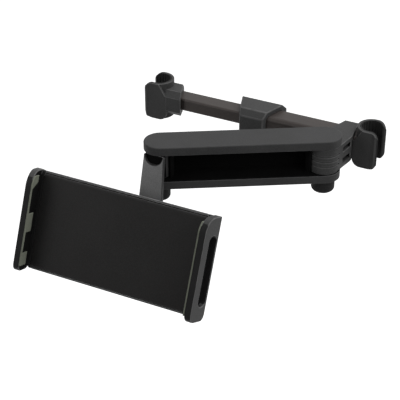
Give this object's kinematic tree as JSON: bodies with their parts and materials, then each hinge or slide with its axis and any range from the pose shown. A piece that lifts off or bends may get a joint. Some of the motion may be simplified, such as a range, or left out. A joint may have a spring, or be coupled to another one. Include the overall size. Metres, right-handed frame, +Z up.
{
  "type": "headrest tablet mount",
  "caption": "Telescopic bar that hooks onto headrest posts, with a folding arm and a ball-jointed tablet holder whose sprung jaw grips the tablet.",
  "frame": {"origin": "centre of the fixed hook's post bore, at mid height", "axes": "+Z up along the headrest posts, +X along the bar from the sliding hook to the fixed hook, -Y toward the person who watches the tablet"},
  "size_m": [0.1812, 0.154, 0.0774],
  "materials": {
    "frame_plastic": "fine matte",
    "tube_metal": "satin brown-grey",
    "arm_plastic": "fine matte",
    "cap_plastic": "stippled matte",
    "liner_rubber": "matte",
    "steel": "plain",
    "chrome_steel": "polished",
    "nylon": "natural",
    "drop_plastic": "satin",
    "ring_plastic": "matte",
    "shell_plastic": "matte",
    "panel_plastic": "smooth matte",
    "jaw_plastic": "matte",
    "pad_rubber": "soft matte"
  },
  "bodies": {
    "bar": {"outer_tube": "tube_metal", "bar_collar": "frame_plastic", "hinge_bracket": "frame_plastic", "fixed_hook": "frame_plastic", "fixed_hook_liner": "liner_rubber", "fixed_hook_screw": "steel", "bar_spring": "steel", "bracket_washers": "nylon"},
    "sliding_end": {"inner_tube": "tube_metal", "guide_bush": "nylon", "sliding_hook": "frame_plastic", "sliding_hook_liner": "liner_rubber", "sliding_hook_screw": "steel"},
    "arm": {"swing_arm": "arm_plastic", "bracket_bolt": "steel", "bracket_cap": "cap_plastic", "holder_bolt": "steel", "holder_cap": "cap_plastic"},
    "drop": {"drop_bracket": "drop_plastic", "holder_washers": "nylon", "ball_stud": "chrome_steel", "stud_nut": "steel"},
    "ball_seat": {"ball_seat": "nylon"},
    "ball_cup": {"ball_cup": "nylon"},
    "holder": {"rear_shell": "shell_plastic", "front_panel": "panel_plastic", "shell_screws": "steel", "fixed_jaw": "jaw_plastic", "jaw_screws": "steel", "fixed_jaw_pad": "pad_rubber", "jaw_springs": "steel"},
    "lock_ring": {"lock_ring": "ring_plastic"},
    "jaw": {"sliding_jaw": "jaw_plastic", "sliding_jaw_pad": "pad_rubber"}
  },
  "joints": [
    {"name": "bar_slide", "type": "slide", "parent": "bar", "child": "sliding_end", "axis": [1, 0, 0], "range_m": [0, 0.041], "stiffness_N_per_m": 250, "springref_m": -0.03, "deforming": ["bar_spring"]},
    {"name": "arm_swing", "type": "hinge", "parent": "bar", "child": "arm", "pos_m": [-0.021, -0.0249, 0], "axis": [0, 0, -1], "range_deg": [-120, 28]},
    {"name": "drop_swing", "type": "hinge", "parent": "arm", "child": "drop", "pos_m": [-0.10636, -0.07504, 0], "axis": [0, 0, 1], "range_deg": [-70, 28]},
    {"name": "holder_yaw", "type": "hinge", "parent": "drop", "child": "ball_seat", "pos_m": [-0.10596, -0.10615, -0.04029], "axis": [0, 0.4035, 0.915], "range_deg": [-14, 14]},
    {"name": "holder_tilt", "type": "hinge", "parent": "ball_seat", "child": "ball_cup", "pos_m": [-0.10596, -0.10615, -0.04029], "axis": [1, 0, 0], "range_deg": [-3.5, 26]},
    {"name": "holder_spin", "type": "hinge", "parent": "ball_cup", "child": "holder", "pos_m": [-0.10596, -0.10615, -0.04029], "axis": [0, -0.915, 0.4035], "continuous": true},
    {"name": "ring_turn", "type": "hinge", "parent": "holder", "child": "lock_ring", "pos_m": [-0.10596, -0.10615, -0.04029], "axis": [0, -0.915, 0.4035], "range_deg": [0, 120]},
    {"name": "jaw_slide", "type": "slide", "parent": "holder", "child": "jaw", "axis": [1, 0, 0], "range_m": [0, 0.055], "stiffness_N_per_m": 150, "springref_m": -0.04, "deforming": ["jaw_springs"]}
  ]
}
